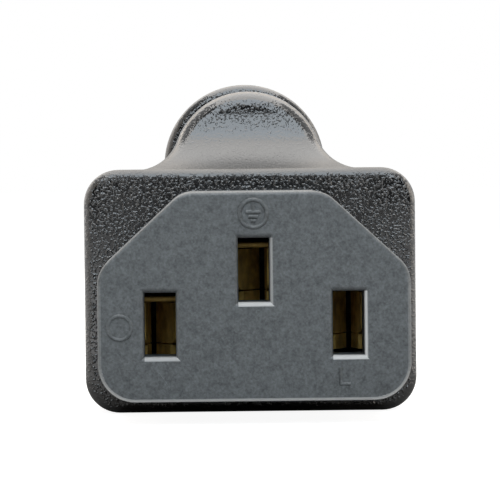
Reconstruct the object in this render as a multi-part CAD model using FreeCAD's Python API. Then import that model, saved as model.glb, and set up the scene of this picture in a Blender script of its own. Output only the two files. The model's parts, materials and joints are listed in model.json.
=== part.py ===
import FreeCAD, Part
import os
from math import atan2, cos, radians, sin, sqrt, tan

# A moulded mains adapter: a three-slot appliance connector at the front, a three-pin wall plug at the back.
# Millimetres and degrees. X is to the right seen from the connector, Y from the connector to the plug, Z up.
# The origin is on the resting face, under the middle of the whole length.

# Soft outer moulding
body_width = 25.9
body_height = 19.0
body_length = 26.0
body_corner_round = 2.7
body_front_round = 0.65
back_edge_chamfer = 0.5
grip_depth = 0.6
grip_front_margin = 4.0

# Lobe over the ground pin, with its ramp up from the body's top and its rim at the plug face
lobe_radius = 6.0
lobe_drop = 0.15
lobe_flare_radius = 3.5
lobe_rim_round = 1.2
lobe_foot_angle = 10.0
lobe_foot_sink = 0.15
ramp_setback = 1.7
ramp_radius = 4.8
ramp_foot_angle = 8.0
flange_overhang = 0.7
flange_thickness = 3.0
flange_edge_round = 0.6

# Rigid nose of the connector
nose_width = 23.3
nose_height = 15.6
nose_length = 16.0
nose_chamfer_width = 6.35
nose_chamfer_height = 5.85
nose_chamfer_round = 2.4
nose_bottom_round = 2.8
nose_edge_round = 0.3
nose_embedded = 4.0
key_rib_width = 10.0
key_rib_height = 0.5
key_rib_length = 1.5
cap_thickness = 1.5
cap_inset = 1.0

# Slots and the chambers behind them
slot_spacing = 14.0
slot_row_drop = 2.02
earth_slot_rise = 4.0
slot_width = 2.35
slot_height = 4.75
slot_edge_round = 0.4
front_wall = 4.5
chamber_width = 4.4
chamber_height = 6.0

# Sheet brass socket contacts
contact_sheet = 0.4
contact_clearance = 0.05
contact_height = 4.9
contact_box_length = 6.5
contact_play = 0.65
hood_width = 2.6
hood_setback = 0.8
hood_edge_round = 0.15
leaf_setback = 0.5
leaf_height = 3.1
leaf_slit = 0.1
leaf_bend_round = 0.6
leaf_tip_round = 1.3
finger_height = 1.1
finger_setback = 1.0
finger_tip_round = 0.5
lip_spread = 3.0
throat_gap = 0.3
throat_depth = 4.0
line_throat_offset = 0.35
neutral_throat_offset = -0.55
earth_throat_offset = 0.8
tail_reach = 3.0

# Wall plug
blade_row_drop = 2.1
blade_spacing = 12.7
blade_width = 6.35
blade_thickness = 1.5
blade_length = 16.0
blade_tip_chamfer = 0.5
blade_hole_diameter = 4.0
blade_hole_distance = 11.9
ground_pin_rise = 11.9
ground_pin_diameter = 4.75
ground_pin_length = 21.4
pin_tip_diameter = 2.6
pin_taper_length = 2.1
pin_root_diameter = 4.0
pin_notch_setback = 1.75
root_length = 4.0
blade_carrier_thickness = 5.5
blade_carrier_margin = 1.7
blade_carrier_round = 1.5
blade_carrier_groove = 0.25

# Flat brass links between the contacts and the plug's pins
link_sheet = 0.8
link_height = 1.6
link_bend_round = 1.6
link_margin = 0.5
link_separation = 2.2

# Places worked out from those sizes
nose_centre = body_height / 2
slot_row_height = nose_centre - slot_row_drop
earth_height = slot_row_height + earth_slot_rise
blade_row_height = nose_centre - blade_row_drop
pin_height = blade_row_height + ground_pin_rise
lobe_height = pin_height - lobe_drop
flange_radius = lobe_radius + flange_overhang
plug_face = nose_length + body_length
carrier_back = nose_length + nose_embedded
cap_back = carrier_back + cap_thickness
blade_carrier_front = plug_face - blade_carrier_thickness
total_length = plug_face + ground_pin_length
front = -total_length / 2
box_back = carrier_back - contact_clearance
box_front = box_back - contact_box_length
contact_low = contact_clearance - (chamber_height - contact_height) / 2
contact_high = contact_low + contact_play
contact_wall = (chamber_width - contact_sheet) / 2 - contact_clearance
pin_flat = link_sheet + contact_sheet / 2 - contact_wall
root_start = blade_carrier_front - root_length
pin_notch = blade_carrier_front - pin_notch_setback
tolerance = 1e-4

V = FreeCAD.Vector


# Ways to place a flat outline: facing the connector, from above and from the right-hand side.
def facing(depth):
    return lambda x, z: V(x, front + depth, z)


def above(height):
    return lambda x, depth: V(x, front + depth, height)


def beside(x):
    return lambda depth, z: V(x, front + depth, z)


def line(start, end):
    return Part.LineSegment(start, end).toShape()


def arc(start, centre, end):
    """The shorter arc from start to end about a centre."""
    outward = (start - centre).normalize() + (end - centre).normalize()
    return Part.Arc(start, centre + outward.normalize() * (start - centre).Length, end).toShape()


def outline(corners, place):
    """A closed wire through corners (a, b, radius), each rounded to its radius."""
    edges = []
    last_end = None
    first_start = None
    for index, (a, b, radius) in enumerate(corners):
        corner = place(a, b)
        before = (place(*corners[index - 1][:2]) - corner).normalize()
        after = (place(*corners[(index + 1) % len(corners)][:2]) - corner).normalize()
        half_angle = before.getAngle(after) / 2
        start = corner + before * (radius / tan(half_angle))
        end = corner + after * (radius / tan(half_angle))
        if last_end is not None and last_end.distanceToPoint(start) > tolerance:
            edges.append(line(last_end, start))
        if radius > 0:
            centre = corner + (before + after).normalize() * (radius / sin(half_angle))
            edges.append(arc(start, centre, end))
        first_start = first_start or start
        last_end = end
    if last_end.distanceToPoint(first_start) > tolerance:
        edges.append(line(last_end, first_start))
    return Part.Wire(edges)


def prism(wire, sweep):
    return Part.Face(wire).extrude(sweep)


def back(length):
    return V(0, length, 0)


def rectangle(centre_x, centre_z, width, height, radius):
    left, right = centre_x - width / 2, centre_x + width / 2
    low, high = centre_z - height / 2, centre_z + height / 2
    return [(left, low, radius), (right, low, radius), (right, high, radius), (left, high, radius)]


def block(centre_x, centre_z, width, height, start, length, radius=0):
    """A bar along Y, of a rounded rectangle seen from the front."""
    wire = outline(rectangle(centre_x, centre_z, width, height, radius), facing(start))
    return prism(wire, back(length))


def rod(x, z, diameter, start, length):
    return Part.makeCylinder(diameter / 2, length, V(x, front + start, z), V(0, 1, 0))


def edges_at_depth(shape, depth):
    """The edges that lie flat in one plane across the length."""
    y = front + depth
    return [
        edge
        for edge in shape.Edges
        if abs(edge.BoundBox.YMin - y) < tolerance and abs(edge.BoundBox.YMax - y) < tolerance
    ]


def joined(first, *others):
    return first.fuse(list(others)).removeSplitter()


# The outer moulding


def body_block():
    """The plain block behind the nose, with its edges rounded and a shallow grip down each side."""
    wire = outline(rectangle(0, nose_centre, body_width, body_height, body_corner_round), facing(nose_length))
    shape = prism(wire, back(body_length))
    shape = shape.makeFillet(body_front_round, edges_at_depth(shape, nose_length))
    shape = shape.makeChamfer(back_edge_chamfer, edges_at_depth(shape, plug_face))
    grip_start = nose_length + grip_front_margin
    grip_end = plug_face - flange_thickness
    half_length = (grip_end - grip_start) / 2
    grip_radius = (half_length**2 + grip_depth**2) / (2 * grip_depth)
    for side in (-1, 1):
        grip_axis = side * (body_width / 2 - grip_depth + grip_radius)
        centre = V(grip_axis, front + (grip_start + grip_end) / 2, -body_height)
        shape = shape.cut(Part.makeCylinder(grip_radius, 3 * body_height, centre))
    return shape


def lobe_section(depth):
    """The lobe seen from the front: a round top that flares out into the body's top at both feet."""
    place = facing(depth)
    foot_angle = radians(lobe_foot_angle)
    low = body_height - lobe_foot_sink
    flare_height = body_height + lobe_flare_radius * cos(foot_angle)
    centre_distance = lobe_radius + lobe_flare_radius
    flare_x = sqrt(centre_distance**2 - (flare_height - lobe_height) ** 2)
    meet_x = flare_x * lobe_radius / centre_distance
    meet_z = lobe_height + (flare_height - lobe_height) * lobe_radius / centre_distance
    foot_x = flare_x - lobe_flare_radius * sin(foot_angle)
    end_x = foot_x + lobe_foot_sink / tan(foot_angle)
    crown = place(0, lobe_height + lobe_radius)
    edges = [Part.Arc(place(-meet_x, meet_z), crown, place(meet_x, meet_z)).toShape()]
    for side in (-1, 1):
        meet = place(side * meet_x, meet_z)
        foot = place(side * foot_x, body_height)
        edges.append(arc(meet, place(side * flare_x, flare_height), foot))
        edges.append(line(foot, place(side * end_x, low)))
    edges.append(line(place(-end_x, low), place(end_x, low)))
    return Part.Wire(Part.__sortEdges__(edges))


def ramp_section(x, ramp_start, end_depth):
    """The lobe seen from the side: a hollow ramp that rises from the body's top to an upright front."""
    place = beside(x)
    foot_angle = radians(ramp_foot_angle)
    low = body_height - lobe_foot_sink
    high = body_height + 2 * lobe_radius + ramp_radius
    centre_z = body_height + ramp_radius * cos(foot_angle)
    foot = place(ramp_start + ramp_radius * sin(foot_angle), body_height)
    toe = place(ramp_start + ramp_radius * sin(foot_angle) - lobe_foot_sink / tan(foot_angle), low)
    upright = ramp_start + ramp_radius
    edges = [line(toe, foot), arc(foot, place(ramp_start, centre_z), place(upright, centre_z))]
    corners = [(upright, centre_z), (upright, high), (end_depth, high), (end_depth, low)]
    points = [place(*corner) for corner in corners] + [toe]
    edges += [line(start, end) for start, end in zip(points, points[1:])]
    return Part.Wire(edges)


def lobe():
    """The lobe with its ramped front, and the rim between the ramp and the round top rolled over."""
    ramp_start = nose_length + ramp_setback
    end_depth = plug_face - flange_thickness / 2
    length = end_depth - nose_length
    ramp = prism(ramp_section(-body_width, ramp_start, end_depth), V(2 * body_width, 0, 0))
    shape = prism(lobe_section(nose_length), back(length)).common(ramp).removeSplitter()
    upright = front + ramp_start + ramp_radius + tolerance
    low = body_height - lobe_foot_sink + tolerance
    rim = []
    for edge in shape.Edges:
        box = edge.BoundBox
        level = box.YLength < tolerance and box.ZLength < tolerance
        if box.YMax < upright and box.ZMax > low and not level:
            rim.append(edge)
    return shape.makeFillet(lobe_rim_round, rim)


def flange_disc():
    disc_front = plug_face - flange_thickness
    shape = rod(0, pin_height, 2 * flange_radius, disc_front, flange_thickness)
    shape = shape.makeFillet(flange_edge_round, edges_at_depth(shape, disc_front))
    return shape.makeChamfer(back_edge_chamfer, edges_at_depth(shape, plug_face))


def overmould_body(buried):
    """The outer moulding, formed round every piece that is buried in it."""
    return joined(body_block(), lobe(), flange_disc()).cut(buried)


# The connector's nose


def nose_outline(depth):
    half, top, bottom = nose_width / 2, nose_centre + nose_height / 2, nose_centre - nose_height / 2
    chamfer_x, chamfer_z = half - nose_chamfer_width, top - nose_chamfer_height
    corners = [
        (-half, bottom, nose_bottom_round),
        (half, bottom, nose_bottom_round),
        (half, chamfer_z, nose_chamfer_round),
        (chamfer_x, top, nose_chamfer_round),
        (-chamfer_x, top, nose_chamfer_round),
        (-half, chamfer_z, nose_chamfer_round),
    ]
    return outline(corners, facing(depth))


def nose_block():
    """The nose without its slots, with a rib above and below that keys it into the outer moulding."""
    shape = prism(nose_outline(0), back(carrier_back))
    shape = shape.makeFillet(nose_edge_round, edges_at_depth(shape, 0))
    rib_start = nose_length + (nose_embedded - key_rib_length) / 2
    ribs = block(0, nose_centre, key_rib_width, nose_height + 2 * key_rib_height, rib_start, key_rib_length)
    return joined(shape, ribs)


def contact_carrier():
    """The nose with its three slots, each with a rounded mouth, and the open-backed chambers behind them."""
    shape = nose_block()
    for x, z, *seat in contact_places.values():
        shape = shape.cut(block(x, z, slot_width, slot_height, 0, front_wall))
        shape = shape.cut(block(x, z, chamber_width, chamber_height, front_wall, carrier_back - front_wall))
        mouth = []
        for edge in edges_at_depth(shape, 0):
            middle = edge.CenterOfMass
            if abs(middle.x - x) < slot_width and abs(middle.z - z) < slot_height:
                mouth.append(edge)
        shape = shape.makeFillet(slot_edge_round, mouth)
    return shape


def cap_block():
    return prism(nose_outline(carrier_back).makeOffset2D(-cap_inset), back(cap_thickness))


# Socket contacts


def ribbon(path, width, bend_round, place):
    """The outline of a strip of one width that follows a path of points, rounded at each bend."""
    half = width / 2
    sides = {1: [], -1: []}
    for index, (a, b) in enumerate(path):
        before = path[max(index - 1, 0)]
        after = path[min(index + 1, len(path) - 1)]
        directions = []
        if index > 0:
            directions.append(atan2(b - before[1], a - before[0]))
        if index < len(path) - 1:
            directions.append(atan2(after[1] - b, after[0] - a))
        heading = sum(directions) / len(directions)
        turn = directions[-1] - directions[0]
        reach = half / cos(turn / 2)
        for side, corners in sides.items():
            bend = bend_round - (half if turn * side > 0 else -half) if turn else 0
            corners.append((a - side * sin(heading) * reach, b + side * cos(heading) * reach, bend))
    return outline(sides[1] + sides[-1][::-1], place)


def sprung_leaf(x, side, offset, top, height, setback, tip_round):
    """A leaf on one side of the pin: it leans in to the throat, then back out to the side of the box."""
    lip = front_wall + leaf_setback
    lip_x = side * (lip_spread - contact_sheet) / 2
    throat_x = offset + side * (throat_gap + contact_sheet) / 2
    start = lip + setback
    path = [
        (x + lip_x + (throat_x - lip_x) * setback / throat_depth, start),
        (x + throat_x, lip + throat_depth),
        (x + side * contact_wall, box_front),
        (x + side * contact_wall, box_front + contact_sheet),
    ]
    strip = prism(ribbon(path, contact_sheet, leaf_bend_round, above(top)), V(0, 0, -height))
    first, low = start - contact_sheet, top - height
    corners = [(first, low, tip_round), (box_back, low, 0), (box_back, top, 0), (first, top, 0)]
    trim = prism(outline(corners, beside(x - chamber_width)), V(2 * chamber_width, 0, 0))
    return strip.common(trim)


def contact(x, z, offset, tail_x, tail_z):
    """A folded socket contact: a box at the back, a hood over the pin, a leaf and a finger on each side."""
    box_width = chamber_width - 2 * contact_clearance
    top = z + contact_height / 2
    box = block(x, z, box_width, contact_height, box_front, contact_box_length)
    hollow = block(
        x, z - contact_sheet, box_width - 2 * contact_sheet, contact_height, box_front, contact_box_length
    )
    hood_front = front_wall + hood_setback
    hood = block(x, top - contact_sheet / 2, hood_width, contact_sheet, hood_front, box_back - hood_front)
    across = [edge for edge in edges_at_depth(hood, hood_front) if edge.BoundBox.XLength > tolerance]
    pieces = [hood.makeFillet(hood_edge_round, across)]
    leaf_top = top - contact_sheet - leaf_slit
    finger_top = leaf_top - leaf_height - leaf_slit
    for side in (-1, 1):
        leaf = sprung_leaf(x, side, offset, leaf_top, leaf_height, 0, leaf_tip_round)
        finger = sprung_leaf(x, side, offset, finger_top, finger_height, finger_setback, finger_tip_round)
        pieces += [leaf, finger]
    tail_length = cap_back + tail_reach - box_front
    pieces.append(block(tail_x, tail_z, contact_sheet, link_height, box_front, tail_length))
    return joined(box.cut(hollow), *pieces)


# Wall plug


def blade(x):
    """A flat blade with a hole near its bevelled tip."""
    tip = plug_face + blade_length
    shape = block(x, blade_row_height, blade_thickness, blade_width, root_start, tip - root_start)
    shape = shape.makeChamfer(blade_tip_chamfer, edges_at_depth(shape, tip))
    hole_axis = V(x - blade_thickness, front + plug_face + blade_hole_distance, blade_row_height)
    return shape.cut(Part.makeCylinder(blade_hole_diameter / 2, 2 * blade_thickness, hole_axis, V(1, 0, 0)))


def ground_pin():
    """A round pin with a tapered nose, and a thinner root with a notch across it for the link."""
    taper_start = plug_face + ground_pin_length - pin_taper_length
    root = rod(0, pin_height, pin_root_diameter, root_start, plug_face - root_start)
    shank = rod(0, pin_height, ground_pin_diameter, plug_face, taper_start - plug_face)
    taper_base = V(0, front + taper_start, pin_height)
    shank_radius, tip_radius = ground_pin_diameter / 2, pin_tip_diameter / 2
    taper = Part.makeCone(shank_radius, tip_radius, pin_taper_length, taper_base, V(0, 1, 0))
    notch_x = pin_flat - pin_root_diameter / 2
    notch_start = pin_notch - link_height / 2
    notch = block(notch_x, pin_height, pin_root_diameter, pin_root_diameter, notch_start, link_height)
    return joined(root, shank, taper).cut(notch)


def blade_carrier_block(groove):
    """The rigid insert in the plug face, with or without the fine groove round its edge."""
    plate_width = blade_spacing + blade_thickness + 2 * blade_carrier_margin
    plate_height = blade_width + 2 * blade_carrier_margin
    stem_width = ground_pin_diameter + 2 * blade_carrier_margin
    start, length = blade_carrier_front, blade_carrier_thickness
    plate = block(0, blade_row_height, plate_width, plate_height, start, length, blade_carrier_round)
    stem = block(0, (blade_row_height + pin_height) / 2, stem_width, ground_pin_rise, start, length)
    shape = joined(plate, stem, rod(0, pin_height, stem_width, start, length))
    if not groove:
        return shape
    return shape.makeChamfer(blade_carrier_groove, edges_at_depth(shape, plug_face))


# Flat links


def crossing_link(tail_x, blade_x, height):
    """A flat link bent twice, from the inner face of a contact's tail across to the inner face of a blade."""
    inward = -1 if tail_x > 0 else 1
    start_x = tail_x + inward * (contact_sheet + link_sheet) / 2
    end_x = blade_x - inward * (blade_thickness + link_sheet) / 2
    middle = (cap_back + blade_carrier_front) / 2
    path = [
        (start_x, cap_back + link_margin),
        (start_x, middle),
        (end_x, middle),
        (end_x, blade_carrier_front - link_margin),
    ]
    wire = ribbon(path, link_sheet, link_bend_round, above(height - link_height / 2))
    return prism(wire, V(0, 0, link_height))


def rising_link():
    """A flat link from the earth contact's tail, turned up at its end into the notch in the ground pin."""
    path = [
        (cap_back + link_margin, earth_height),
        (pin_notch, earth_height),
        (pin_notch, pin_height + link_height / 2),
    ]
    wire = ribbon(path, link_height, link_bend_round, beside(pin_flat))
    return prism(wire, V(-link_sheet, 0, 0))


# The whole adapter. The line link crosses under the neutral link, because the two ends have opposite hands.
# In its chamber the line contact sits as high as its play allows, and the other two sit low.
line_link_height = slot_row_height - link_separation / 2
neutral_link_height = slot_row_height + link_separation / 2
half_row = slot_spacing / 2
tail_x = half_row - contact_wall
contact_places = {
    "line": (half_row, slot_row_height, contact_high, line_throat_offset, tail_x, line_link_height),
    "neutral": (-half_row, slot_row_height, contact_low, neutral_throat_offset, -tail_x, neutral_link_height),
    "earth": (0, earth_height, contact_low, earth_throat_offset, -contact_wall, earth_height),
}

nodes = {
    "line_blade": blade(-blade_spacing / 2),
    "neutral_blade": blade(blade_spacing / 2),
    "ground_pin": ground_pin(),
    "earth_link": rising_link(),
}
for name, blade_x in (("line", -blade_spacing / 2), ("neutral", blade_spacing / 2)):
    *seat, tail_x, tail_z = contact_places[name]
    nodes[name + "_link"] = crossing_link(tail_x, blade_x, tail_z)
pins = [nodes["line_blade"], nodes["neutral_blade"], nodes["ground_pin"]]
blade_carrier = blade_carrier_block(True).cut(pins)

carrier_cap = cap_block()
for name, (x, z, lift, offset, tail_x, tail_z) in contact_places.items():
    nodes[name + "_contact"] = contact(x, z + lift, offset, tail_x, tail_z)
    carrier_cap = carrier_cap.cut(nodes[name + "_contact"])
buried = [nose_block(), cap_block(), blade_carrier_block(False), *nodes.values()]

nodes["contact_carrier"] = contact_carrier()
nodes["carrier_cap"] = carrier_cap
nodes["blade_carrier"] = blade_carrier
nodes["overmould_body"] = overmould_body(buried)

os.makedirs("parts", exist_ok=True)
for name, shape in nodes.items():
    shape.exportStep("parts/" + name + ".step")
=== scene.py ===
import json
import math

import bmesh
import bpy
from mathutils import Matrix, Vector


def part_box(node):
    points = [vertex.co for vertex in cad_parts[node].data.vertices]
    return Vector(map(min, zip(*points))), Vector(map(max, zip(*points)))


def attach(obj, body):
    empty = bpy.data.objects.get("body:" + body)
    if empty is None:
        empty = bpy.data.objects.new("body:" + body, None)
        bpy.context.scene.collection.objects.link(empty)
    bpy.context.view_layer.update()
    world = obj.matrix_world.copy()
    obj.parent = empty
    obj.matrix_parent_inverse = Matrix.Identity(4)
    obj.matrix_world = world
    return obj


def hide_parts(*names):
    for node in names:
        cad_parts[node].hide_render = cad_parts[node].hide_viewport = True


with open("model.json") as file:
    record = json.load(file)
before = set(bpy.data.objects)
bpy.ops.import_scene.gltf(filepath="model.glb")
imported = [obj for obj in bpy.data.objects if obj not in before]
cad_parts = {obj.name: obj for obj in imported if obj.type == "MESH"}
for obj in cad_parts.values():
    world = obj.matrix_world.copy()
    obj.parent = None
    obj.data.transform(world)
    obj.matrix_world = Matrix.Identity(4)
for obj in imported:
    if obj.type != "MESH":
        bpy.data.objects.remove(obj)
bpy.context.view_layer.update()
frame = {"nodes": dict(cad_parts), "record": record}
nodes = frame["nodes"]
MM = 0.001

# Places on the adapter, in millimetres: X to the right seen from the connector, Y to the plug, Z up.
nose_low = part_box("contact_carrier")[0] / MM
nose_front = nose_low.y
body_top = 19.0
slot_spacing = 14.0
slot_row = 7.48
earth_rise = 4.0
slot_width = 2.35
slot_height = 4.75
slot_bottom = 5.1
earth_slot_top = 13.85

# Nearly all of a noise texture lies between these two values.
noise_low, noise_high = 0.3, 0.7


def linear(hex_colour):
    """An sRGB hex colour as the linear colour that shaders take."""
    channels = [int(hex_colour[i : i + 2], 16) / 255 for i in (1, 3, 5)]
    return tuple(c / 12.92 if c <= 0.04045 else ((c + 0.055) / 1.055) ** 2.4 for c in channels) + (1.0,)


def add(tree, kind, inputs=None, **settings):
    """A node of that kind with its settings, its inputs set to values or linked from other nodes' outputs."""
    node = tree.nodes.new(kind)
    for name, value in settings.items():
        setattr(node, name, value)
    for name, value in (inputs or {}).items():
        socket = node.inputs[name]
        if isinstance(value, bpy.types.NodeSocket):
            tree.links.new(value, socket)
        else:
            socket.default_value = value
    return node


def new_material(name):
    """An empty material, its node tree and its Object coordinates in millimetres."""
    material = bpy.data.materials.new(name)
    material.use_nodes = True
    tree = material.node_tree
    tree.nodes.clear()
    place = add(tree, "ShaderNodeTexCoord").outputs["Object"]
    millimetres = add(tree, "ShaderNodeVectorMath", {0: place, "Scale": 1 / MM}, operation="SCALE")
    return material, tree, millimetres.outputs[0]


# Soft PVC moulded in a spark-eroded steel cavity. The sparks leave low round bumps under half a millimetre
# apart on a flatter ground, so the black front glitters where a bump's side faces the light and the tops go
# grey. Above the body's flat top and on its rounded edges, which hands rub, the grain is shallower, and the
# ramp's foot is dull. The gloss is twice the usual, so that the lamps it mirrors can stay at a plain level.
def spark_grained_pvc():
    material, tree, place = new_material("spark_grained_pvc")
    grain_pitch = 0.21
    grain_height = 0.2
    grain_floor, grain_blend = 0.5, 0.06
    lobe_grain_share = 0.55
    rubbed_grain_share = 0.5
    edge_facing, flat_facing = 0.9, 0.985
    front_top, lobe_bottom = body_top - 0.8, body_top - 0.1
    foot_bottom, foot_top = body_top + 0.2, body_top + 3.0
    foot_dullness = 0.4
    wide_pitch = 2.6
    smoothest, roughest = 0.07, 0.13
    grain = add(
        tree, "ShaderNodeTexNoise",
        {"Vector": place, "Scale": 1 / grain_pitch, "Detail": 1.0, "Roughness": 0.5},
    )
    bumps = add(
        tree, "ShaderNodeMath", {0: grain.outputs[0], 1: grain_floor, 2: grain_blend}, operation="SMOOTH_MAX"
    )
    height = add(tree, "ShaderNodeSeparateXYZ", {0: place}).outputs["Z"]
    above = add(tree, "ShaderNodeMapRange", {0: height, 1: front_top, 2: lobe_bottom})
    lobe_grain_height = lobe_grain_share * grain_height
    depth = add(
        tree, "ShaderNodeMapRange", {0: above.outputs[0], 3: grain_height * MM, 4: lobe_grain_height * MM}
    )
    facing = add(tree, "ShaderNodeTexCoord").outputs["Normal"]
    facing_size = add(tree, "ShaderNodeVectorMath", {0: facing}, operation="ABSOLUTE")
    along = add(tree, "ShaderNodeSeparateXYZ", {0: facing_size.outputs[0]}).outputs
    flatter = add(tree, "ShaderNodeMath", {0: along["X"], 1: along["Y"]}, operation="MAXIMUM")
    flattest = add(tree, "ShaderNodeMath", {0: flatter.outputs[0], 1: along["Z"]}, operation="MAXIMUM")
    unrubbed = add(
        tree, "ShaderNodeMapRange",
        {0: flattest.outputs[0], 1: edge_facing, 2: flat_facing, 3: rubbed_grain_share, 4: 1.0},
    )
    grain_depth = add(
        tree, "ShaderNodeMath", {0: depth.outputs[0], 1: unrubbed.outputs[0]}, operation="MULTIPLY"
    )
    bump = add(
        tree, "ShaderNodeBump",
        {"Height": bumps.outputs[0], "Distance": grain_depth.outputs[0], "Strength": 1.0},
    )
    wide = add(tree, "ShaderNodeTexNoise", {"Vector": place, "Scale": 1 / wide_pitch, "Detail": 3.0})
    colour = add(
        tree, "ShaderNodeMix", {0: wide.outputs[0], 6: linear("#050607"), 7: linear("#0a0b0d")},
        data_type="RGBA",
    )
    rough = add(
        tree, "ShaderNodeMapRange",
        {0: wide.outputs[0], 1: noise_low, 2: noise_high, 3: smoothest, 4: roughest},
    )
    duller = add(
        tree, "ShaderNodeMapRange", {0: height, 1: foot_bottom, 2: foot_top, 3: foot_dullness, 4: 0.0}
    )
    finish = add(
        tree, "ShaderNodeMath", {0: above.outputs[0], 1: duller.outputs[0], 2: rough.outputs[0]},
        operation="MULTIPLY_ADD",
    )
    shader = add(
        tree, "ShaderNodeBsdfPrincipled",
        {
            "Base Color": colour.outputs[2],
            "Roughness": finish.outputs[0],
            "IOR": 1.53,
            "Specular IOR Level": 1.0,
            "Normal": bump.outputs[0],
        },
    )
    add(tree, "ShaderNodeOutputMaterial", {"Surface": shader.outputs[0]})
    return material


# Glass-filled nylon, moulded in a finely blasted cavity. Short fibres near the skin give the dull grey a
# faint cloud and a dry, low sheen. Where a piece's attribute asks for it, a pale colour is painted on:
# painted highlights and painted light from the floor.
def glass_filled_nylon(name, dark, light, painted_light_colour, roughness):
    material, tree, place = new_material(name)
    cloud_pitch = 0.5
    fibre_pitch = 0.17
    fibre_height = 0.015
    darkest_sum, lightest_sum = 0.65, 1.35
    roughness_spread = 0.03
    cloud = add(
        tree, "ShaderNodeTexNoise",
        {"Vector": place, "Scale": 1 / cloud_pitch, "Detail": 4.0, "Roughness": 0.65},
    )
    fibre = add(
        tree, "ShaderNodeTexNoise",
        {"Vector": place, "Scale": 1 / fibre_pitch, "Detail": 2.0, "Roughness": 0.6},
    )
    both = add(tree, "ShaderNodeMath", {0: cloud.outputs[0], 1: fibre.outputs[0]}, operation="ADD")
    spread = add(tree, "ShaderNodeMapRange", {0: both.outputs[0], 1: darkest_sum, 2: lightest_sum})
    skin = add(
        tree, "ShaderNodeMix", {0: spread.outputs[0], 6: linear(dark), 7: linear(light)}, data_type="RGBA"
    )
    # Painted light: the attribute lays a pale colour on the nose's front edges, for highlights and floor light.
    painted_light = add(tree, "ShaderNodeAttribute", attribute_name="painted_light")
    colour = add(
        tree, "ShaderNodeMix", {0: painted_light.outputs["Fac"], 6: skin.outputs[2], 7: linear(painted_light_colour)},
        data_type="RGBA",
    )
    bump = add(
        tree, "ShaderNodeBump", {"Height": fibre.outputs[0], "Distance": fibre_height * MM, "Strength": 1.0}
    )
    smoothest, roughest = roughness - roughness_spread, roughness + roughness_spread
    rough = add(
        tree, "ShaderNodeMapRange",
        {0: fibre.outputs[0], 1: noise_low, 2: noise_high, 3: smoothest, 4: roughest},
    )
    shader = add(
        tree, "ShaderNodeBsdfPrincipled",
        {
            "Base Color": colour.outputs[2],
            "Roughness": rough.outputs[0],
            "IOR": 1.53,
            "Normal": bump.outputs[0],
        },
    )
    add(tree, "ShaderNodeOutputMaterial", {"Surface": shader.outputs[0]})
    return material


# Rolled sheet brass, blanked and folded, dulled by handling: fine lines along the rolling direction and a
# brown film of tarnish, thicker in patches, that hides more than half of the metal's shine.
def rolled_brass():
    material, tree, place = new_material("rolled_brass")
    line_pitch = 0.08
    line_stretch = 0.05
    line_height = 0.004
    film_pitch = 1.2
    film_thin, film_thick = 0.35, 0.65
    smoothest, roughest = 0.5, 0.65
    along = add(tree, "ShaderNodeMapping", {"Vector": place, "Scale": (1.0, line_stretch, 1.0)})
    lines = add(
        tree, "ShaderNodeTexNoise", {"Vector": along.outputs[0], "Scale": 1 / line_pitch, "Detail": 2.0}
    )
    film = add(tree, "ShaderNodeTexNoise", {"Vector": place, "Scale": 1 / film_pitch, "Detail": 3.0})
    tarnish = add(tree, "ShaderNodeMapRange", {0: film.outputs[0], 1: film_thin, 2: film_thick})
    colour = add(
        tree, "ShaderNodeMix", {0: tarnish.outputs[0], 6: linear("#d0b062"), 7: linear("#a08442")},
        data_type="RGBA",
    )
    rough = add(
        tree, "ShaderNodeMapRange",
        {0: lines.outputs[0], 1: noise_low, 2: noise_high, 3: smoothest, 4: roughest},
    )
    bump = add(
        tree, "ShaderNodeBump", {"Height": lines.outputs[0], "Distance": line_height * MM, "Strength": 0.6}
    )
    shader = add(
        tree, "ShaderNodeBsdfPrincipled",
        {
            "Base Color": colour.outputs[2],
            "Metallic": 0.4,
            "Roughness": rough.outputs[0],
            "Normal": bump.outputs[0],
        },
    )
    add(tree, "ShaderNodeOutputMaterial", {"Surface": shader.outputs[0]})
    return material


# Bright nickel plated on drawn brass: a warm silver mirror over the faint lengthwise lines of the drawn
# stock.
def bright_nickel():
    material, tree, place = new_material("bright_nickel")
    line_pitch = 0.1
    line_stretch = 0.03
    line_height = 0.003
    smoothest, roughest = 0.2, 0.34
    along = add(tree, "ShaderNodeMapping", {"Vector": place, "Scale": (1.0, line_stretch, 1.0)})
    lines = add(
        tree, "ShaderNodeTexNoise", {"Vector": along.outputs[0], "Scale": 1 / line_pitch, "Detail": 3.0}
    )
    rough = add(
        tree, "ShaderNodeMapRange",
        {0: lines.outputs[0], 1: noise_low, 2: noise_high, 3: smoothest, 4: roughest},
    )
    bump = add(
        tree, "ShaderNodeBump", {"Height": lines.outputs[0], "Distance": line_height * MM, "Strength": 0.5}
    )
    shader = add(
        tree, "ShaderNodeBsdfPrincipled",
        {
            "Base Color": linear("#a8a298"),
            "Metallic": 1.0,
            "Roughness": rough.outputs[0],
            "Normal": bump.outputs[0],
        },
    )
    add(tree, "ShaderNodeOutputMaterial", {"Surface": shader.outputs[0]})
    return material


materials = {
    "black_pvc": spark_grained_pvc(),
    # The third colour of each nylon is painted light, shown only where a piece carries the attribute: the grey
    # nose.
    "grey_nylon": glass_filled_nylon("grey_glass_filled_nylon", "#363a3c", "#62676a", "#cecfcf", 0.44),
    "black_nylon": glass_filled_nylon("black_glass_filled_nylon", "#17181a", "#1e1f21", "#2a2b2d", 0.42),
    "sheet_brass": rolled_brass(),
    "nickel_plate": bright_nickel(),
}


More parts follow.
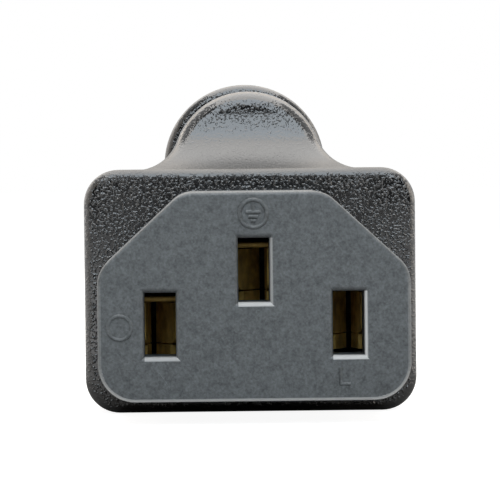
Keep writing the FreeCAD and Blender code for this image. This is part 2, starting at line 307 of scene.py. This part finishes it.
def smooth_copy(node_name, slot_name, crease_angle=28.0, merge_distance=0.0005):
    """A copy of a CAD node with its facets joined: its rounds shade as rounds and its creases stay sharp."""
    shell = bmesh.new()
    shell.from_mesh(nodes[node_name].data)
    bmesh.ops.remove_doubles(shell, verts=shell.verts, dist=merge_distance * MM)
    for face in shell.faces:
        face.smooth = True
    for edge in shell.edges:
        edge.smooth = edge.is_manifold and edge.calc_face_angle() < math.radians(crease_angle)
    mesh = bpy.data.meshes.new(node_name + "_finish")
    shell.to_mesh(mesh)
    shell.free()
    mesh.materials.append(materials[slot_name])
    piece = bpy.data.objects.new(node_name + "_finish", mesh)
    bpy.context.scene.collection.objects.link(piece)
    normals = piece.modifiers.new("flat_faces_stay_flat", "WEIGHTED_NORMAL")
    normals.keep_sharp = True
    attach(piece, "root")
    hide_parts(node_name)
    return piece


def paint_front_edge_light(piece):
    """Painted light on the nose's round front edges: floor light on the rim's lower side, highlights on the
    lips.
    """
    front_band = 1.0
    flat_facing, rim_facing, wall_facing = -0.99, -0.5, -0.1
    # Painted light on the rim: a little on its sides, none on top, most on its lower side, which faces the
    # floor.
    rim_light, low_rim_light = 0.12, 1.3
    lip_gain, side_lip_start = 4.0, 0.35
    mouth_half_width, mouth_half_height = 1.7, 2.9
    # The middle of each slot, and how much painted highlight its lower lip and its right lip get.
    mouths = (
        (-slot_spacing / 2, slot_row, 0.43, 0.06),
        (slot_spacing / 2, slot_row, 0.65, 1.0),
        (0.0, slot_row + earth_rise, 0.63, 0.52),
    )
    shell = bmesh.new()
    shell.from_mesh(piece.data)

    def round_front_faces():
        for face in shell.faces:
            centre = face.calc_center_median() / MM
            if centre.y < nose_front + front_band and flat_facing < face.normal.y < wall_facing:
                yield face, centre

    def in_mouth(centre, x, z):
        return abs(centre.x - x) < mouth_half_width and abs(centre.z - z) < mouth_half_height

    # The lips are cut through at each slot's left and top sides, where the painted highlights of the others
    # end.
    for x, z, _, _ in mouths:
        left_side, top_side = x - slot_width / 2, z + slot_height / 2
        for place, across in (((left_side, 0, 0), (1, 0, 0)), ((0, 0, top_side), (0, 0, 1))):
            lips = [face for face, centre in round_front_faces() if in_mouth(centre, x, z)]
            edges = {edge for face in lips for edge in face.edges}
            corners = {corner for face in lips for corner in face.verts}
            bmesh.ops.bisect_plane(
                shell, geom=lips + list(edges) + list(corners), plane_co=Vector(place) * MM, plane_no=across
            )
    # Each face's share of painted light, which the nylon shows as a pale painted colour.
    painted_light = shell.faces.layers.float.new("painted_light")
    for face, centre in round_front_faces():
        facing = face.normal
        share = rim_light - (rim_light + low_rim_light) * facing.z if facing.y < rim_facing else 0.0
        for x, z, low_lip_light, side_lip_light in mouths:
            if in_mouth(centre, x, z):
                low = lip_gain * facing.z if centre.x > x - slot_width / 2 else 0.0
                side = lip_gain * (-facing.x - side_lip_start) if centre.z < z + slot_height / 2 else 0.0
                share = max(low_lip_light * min(1.0, low), side_lip_light * min(1.0, side))
        face[painted_light] = min(max(share, 0.0), 1.0)
    shell.to_mesh(piece.data)
    shell.free()


for subpart in frame["record"]["subparts"]:
    piece = smooth_copy(subpart["node"], subpart["material_slot"])
    # The nose's front edges get painted light: highlights on the slots' lips, floor light on the rim.
    if subpart["node"] == "contact_carrier":
        paint_front_edge_light(piece)


def raised_mark_tree():
    """Geometry Nodes for a mark moulded in low relief: a round stroke, partly sunk, along each line."""
    tree = bpy.data.node_groups.new("raised_mark", "GeometryNodeTree")
    for name, direction, kind in (
        ("Lines", "INPUT", "NodeSocketGeometry"),
        ("Stroke radius", "INPUT", "NodeSocketFloat"),
        ("Material", "INPUT", "NodeSocketMaterial"),
        ("Mark", "OUTPUT", "NodeSocketGeometry"),
    ):
        tree.interface.new_socket(name, in_out=direction, socket_type=kind)
    given = add(tree, "NodeGroupInput").outputs
    paths = add(tree, "GeometryNodeMeshToCurve", {"Mesh": given["Lines"]})
    section = add(
        tree, "GeometryNodeCurvePrimitiveCircle", {"Resolution": 64, "Radius": given["Stroke radius"]}
    )
    strokes = add(
        tree, "GeometryNodeCurveToMesh",
        {"Curve": paths.outputs[0], "Profile Curve": section.outputs["Curve"], "Fill Caps": True},
    )
    solid = add(tree, "GeometryNodeRealizeInstances", {0: strokes.outputs[0]})
    finish = add(tree, "GeometryNodeSetMaterial", {0: solid.outputs[0], "Material": given["Material"]})
    add(tree, "NodeGroupOutput", {"Mark": finish.outputs[0]})
    return tree


mark_tree = raised_mark_tree()
stroke_radius = 0.17


def ring_line(radius, segments=72):
    """Points round a circle. The first comes again at the end, which closes the line."""
    turns = [2 * math.pi * step / segments for step in range(segments)]
    points = [(radius * math.cos(turn), radius * math.sin(turn)) for turn in turns]
    return points + points[:1]


def raised_mark(name, x, z, rise, lines):
    """A mark on the nose's front: lines of points (right, up) in millimetres about its middle."""
    points, steps = [], []
    sink = stroke_radius - rise
    for line in lines:
        closed = line[0] == line[-1]
        corners = line[:-1] if closed else line
        first, last = len(points), len(points) + len(corners) - 1
        steps += [(step, step + 1) for step in range(first, last)]
        if closed:
            steps.append((last, first))
        points += [Vector((x + right, nose_front + sink, z + up)) * MM for right, up in corners]
    mesh = bpy.data.meshes.new(name + "_lines")
    mesh.from_pydata(points, steps, [])
    drawing = bpy.data.objects.new(name + "_lines", mesh)
    bpy.context.scene.collection.objects.link(drawing)
    modifier = drawing.modifiers.new("strokes", "NODES")
    modifier.node_group = mark_tree
    values = {"Stroke radius": stroke_radius * MM, "Material": materials["grey_nylon"]}
    for item in mark_tree.interface.items_tree:
        if item.name in values:
            modifier[item.identifier] = values[item.name]
    ready = drawing.evaluated_get(bpy.context.evaluated_depsgraph_get())
    piece = bpy.data.objects.new(name, bpy.data.meshes.new_from_object(ready))
    bpy.data.objects.remove(drawing)
    bpy.context.scene.collection.objects.link(piece)
    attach(piece, "root")


# The earth sign in its ring above the middle slot, the pole letters under the outer ones, and a plain ring.
earth_sign = [
    ring_line(1.02),
    [(0, 0.62), (0, 0.12)],
    [(-0.55, 0.12), (0.55, 0.12)],
    [(-0.36, -0.22), (0.36, -0.22)],
    [(-0.17, -0.56), (0.17, -0.56)],
]
line_letter = [[(-0.35, 0.65), (-0.35, -0.6), (0.4, -0.6)]]
neutral_letter = [[(-0.4, -0.6), (-0.4, 0.6), (0.4, -0.6), (0.4, 0.6)]]
for name, x, z, rise, lines in (
    ("earth_mark", -0.02, earth_slot_top + 1.82, 0.14, earth_sign),
    ("line_mark", slot_spacing / 2 - 0.3, slot_bottom - 1.55, 0.1, line_letter),
    ("neutral_mark", -slot_spacing / 2 + 0.3, slot_bottom - 1.8, 0.04, neutral_letter),
    ("ring_mark", nose_low.x + 1.63, 7.28, 0.1, [ring_line(0.88)]),
):
    raised_mark(name, x, z, rise, lines)

# Stage: a pale floor that goes white before the camera and keeps the soft shadow.
floor_half = 3000.0
floor_gap = 0.05
floor_corners = [
    (-floor_half, -floor_half, -floor_gap),
    (floor_half, -floor_half, -floor_gap),
    (floor_half, floor_half, -floor_gap),
    (-floor_half, floor_half, -floor_gap),
]
floor_mesh = bpy.data.meshes.new("floor")
floor_mesh.from_pydata([Vector(corner) * MM for corner in floor_corners], [], [(0, 1, 2, 3)])
floor = bpy.data.objects.new("floor", floor_mesh)
bpy.context.scene.collection.objects.link(floor)


def shown_white(tree, mirrored_share):
    """1 for rays from the camera, the share for those that a gloss or glass sends on, 0 for any other."""
    rays = add(tree, "ShaderNodeLightPath").outputs
    mirrored = add(
        tree, "ShaderNodeMath", {0: rays["Is Glossy Ray"], 1: rays["Is Transmission Ray"]},
        operation="MAXIMUM",
    )
    shared = add(tree, "ShaderNodeMath", {0: mirrored.outputs[0], 1: mirrored_share}, operation="MULTIPLY")
    return add(
        tree, "ShaderNodeMath", {0: shared.outputs[0], 1: rays["Is Camera Ray"]}, operation="MAXIMUM"
    ).outputs[0]


# Close to the object the floor shows only its own light and shade in reflections, so the undersides stay
# dark, and a little less than white to the camera, so the shadow shows. Far in front it is as dim as the room
# there.
floor_material, floor_tree, floor_place = new_material("pale_floor")
near_distance, far_distance = 30.0, 130.0
floor_middle = (0.0, -12.0, 0.0)
dim_front, white_front = -1000.0, -500.0
near_glow = 0.92
floor_distance = add(
    floor_tree, "ShaderNodeVectorMath", {0: floor_place, 1: floor_middle}, operation="DISTANCE"
)
floor_far = add(
    floor_tree, "ShaderNodeMapRange", {0: floor_distance.outputs["Value"], 1: near_distance, 2: far_distance}
)
floor_depth = add(floor_tree, "ShaderNodeSeparateXYZ", {0: floor_place}).outputs["Y"]
floor_front = add(floor_tree, "ShaderNodeMapRange", {0: floor_depth, 1: dim_front, 2: white_front})
floor_share = add(
    floor_tree, "ShaderNodeMath", {0: floor_far.outputs[0], 1: floor_front.outputs[0]}, operation="MULTIPLY"
)
floor_glow = add(floor_tree, "ShaderNodeMapRange", {0: floor_far.outputs[0], 3: near_glow, 4: 1.0})
floor_level = add(
    floor_tree, "ShaderNodeMath",
    {0: shown_white(floor_tree, floor_share.outputs[0]), 1: floor_glow.outputs[0]},
    operation="MULTIPLY",
)
floor_emission = add(
    floor_tree, "ShaderNodeEmission", {"Color": (1, 1, 1, 1), "Strength": floor_level.outputs[0]}
)
floor_diffuse = add(floor_tree, "ShaderNodeBsdfDiffuse", {"Color": linear("#a0a0a0")})
floor_sum = add(
    floor_tree, "ShaderNodeAddShader", {0: floor_emission.outputs[0], 1: floor_diffuse.outputs[0]}
)
add(floor_tree, "ShaderNodeOutputMaterial", {"Surface": floor_sum.outputs[0]})
floor_mesh.materials.append(floor_material)

# The room: white behind the object and beside it, dim in front, where the camera stands.
world = bpy.data.worlds.new("studio")
bpy.context.scene.world = world
world.use_nodes = True
world_tree = world.node_tree
world_tree.nodes.clear()
fill_level = 0.04
front_edge, back_edge = -0.8, 0.0
direction = add(world_tree, "ShaderNodeTexCoord").outputs["Generated"]
world_depth = add(world_tree, "ShaderNodeSeparateXYZ", {0: direction}).outputs["Y"]
behind = add(world_tree, "ShaderNodeMapRange", {0: world_depth, 1: front_edge, 2: back_edge})
world_level = add(
    world_tree, "ShaderNodeMapRange", {0: shown_white(world_tree, behind.outputs[0]), 3: fill_level, 4: 1.0}
)
background = add(
    world_tree, "ShaderNodeBackground", {"Color": (1, 1, 1, 1), "Strength": world_level.outputs[0]}
)
add(world_tree, "ShaderNodeOutputWorld", {"Surface": background.outputs[0]})


def softbox(name, place, target, width, height, radiance, tint):
    """A soft lamp of that size in millimetres. Its radiance is how bright it looks against white at 1."""
    lamp = bpy.data.lights.new(name, "AREA")
    lamp.color = linear(tint)[:3]
    lamp.shape = "RECTANGLE"
    lamp.size = width * MM
    lamp.size_y = height * MM
    lamp.energy = radiance * math.pi * lamp.size * lamp.size_y
    holder = bpy.data.objects.new(name, lamp)
    holder.location = Vector(place) * MM
    aim = (Vector(target) - Vector(place)).normalized()
    holder.rotation_mode = "QUATERNION"
    holder.rotation_quaternion = aim.to_track_quat("-Z", "Y")
    bpy.context.scene.collection.objects.link(holder)


# An arch of soft light from in front of the object over its top to behind it, where it fades into the white
# room. Each lamp fills the arch between two angles, in degrees up from the front.
lamp_distance = 400.0
lamp_target = Vector((5.0, 0.0, 10.0))
blue_tint, plain_tint, warm_tint = "#ecf6fe", "#fffdfa", "#fff4e6"
for name, low, high, width, radiance, tint in (
    ("front_softbox", 13.0, 58.0, 260.0, 3.6, blue_tint),
    ("top_softbox", 58.0, 85.0, 400.0, 3.2, plain_tint),
    ("crown_softbox", 85.0, 105.0, 400.0, 3.1, plain_tint),
    ("rear_softbox", 105.0, 120.0, 600.0, 3.0, plain_tint),
    ("low_rear_softbox", 120.0, 135.0, 800.0, 2.3, warm_tint),
    ("back_softbox", 135.0, 150.0, 900.0, 1.6, warm_tint),
):
    elevation = math.radians((low + high) / 2)
    length = 2 * lamp_distance * math.tan(math.radians(high - low) / 2)
    reach = Vector((0, -math.cos(elevation), math.sin(elevation))) * lamp_distance
    softbox(name, lamp_target + reach, lamp_target, width, length, radiance, tint)

# Dimmer softboxes at the sides, for the upright edges and the sides of the slots' mouths. Each is turned
# that many degrees to the right of the front.
side_elevation = math.radians(18.0)
side_height = 240.0
for name, turn, width, radiance in (
    ("left_softbox", -60.0, 420.0, 0.6),
    ("left_rear_softbox", -115.0, 380.0, 1.2),
    ("right_softbox", 85.0, 520.0, 1.6),
):
    aside = math.radians(turn)
    level_reach = Vector((math.sin(aside), -math.cos(aside), 0)) * math.cos(side_elevation)
    reach = (level_reach + Vector((0, 0, math.sin(side_elevation)))) * lamp_distance
    softbox(name, lamp_target + reach, lamp_target, width, side_height, radiance, warm_tint)

# Camera where the photograph was taken from: about 300 mm in front of the nose, level with the body's top and
# a little to the left, with a slight roll.
focal_pixels = 4050.0
frame_pixels = 500.0
eye = Vector((-5.33, nose_front - 300.0, 19.09))
sight_right, sight_down = 68.2, 82.7
roll = 0.0105
camera_data = bpy.data.cameras.new("camera")
camera_data.sensor_width = 36.0
camera_data.lens = camera_data.sensor_width * focal_pixels / frame_pixels
camera_data.clip_start = 0.01
camera_data.clip_end = 20.0
camera = bpy.data.objects.new("camera", camera_data)
forward = Vector((sight_right / focal_pixels, 1.0, -sight_down / focal_pixels)).normalized()
level = forward.cross(Vector((0, 0, 1))).normalized()
upright = level.cross(forward)
right = level * math.cos(roll) - upright * math.sin(roll)
up = level * math.sin(roll) + upright * math.cos(roll)
camera.matrix_world = Matrix.Translation(eye * MM) @ Matrix((right, up, -forward)).transposed().to_4x4()
bpy.context.scene.collection.objects.link(camera)
bpy.context.scene.camera = camera
bpy.context.scene.view_settings.view_transform = "Standard"
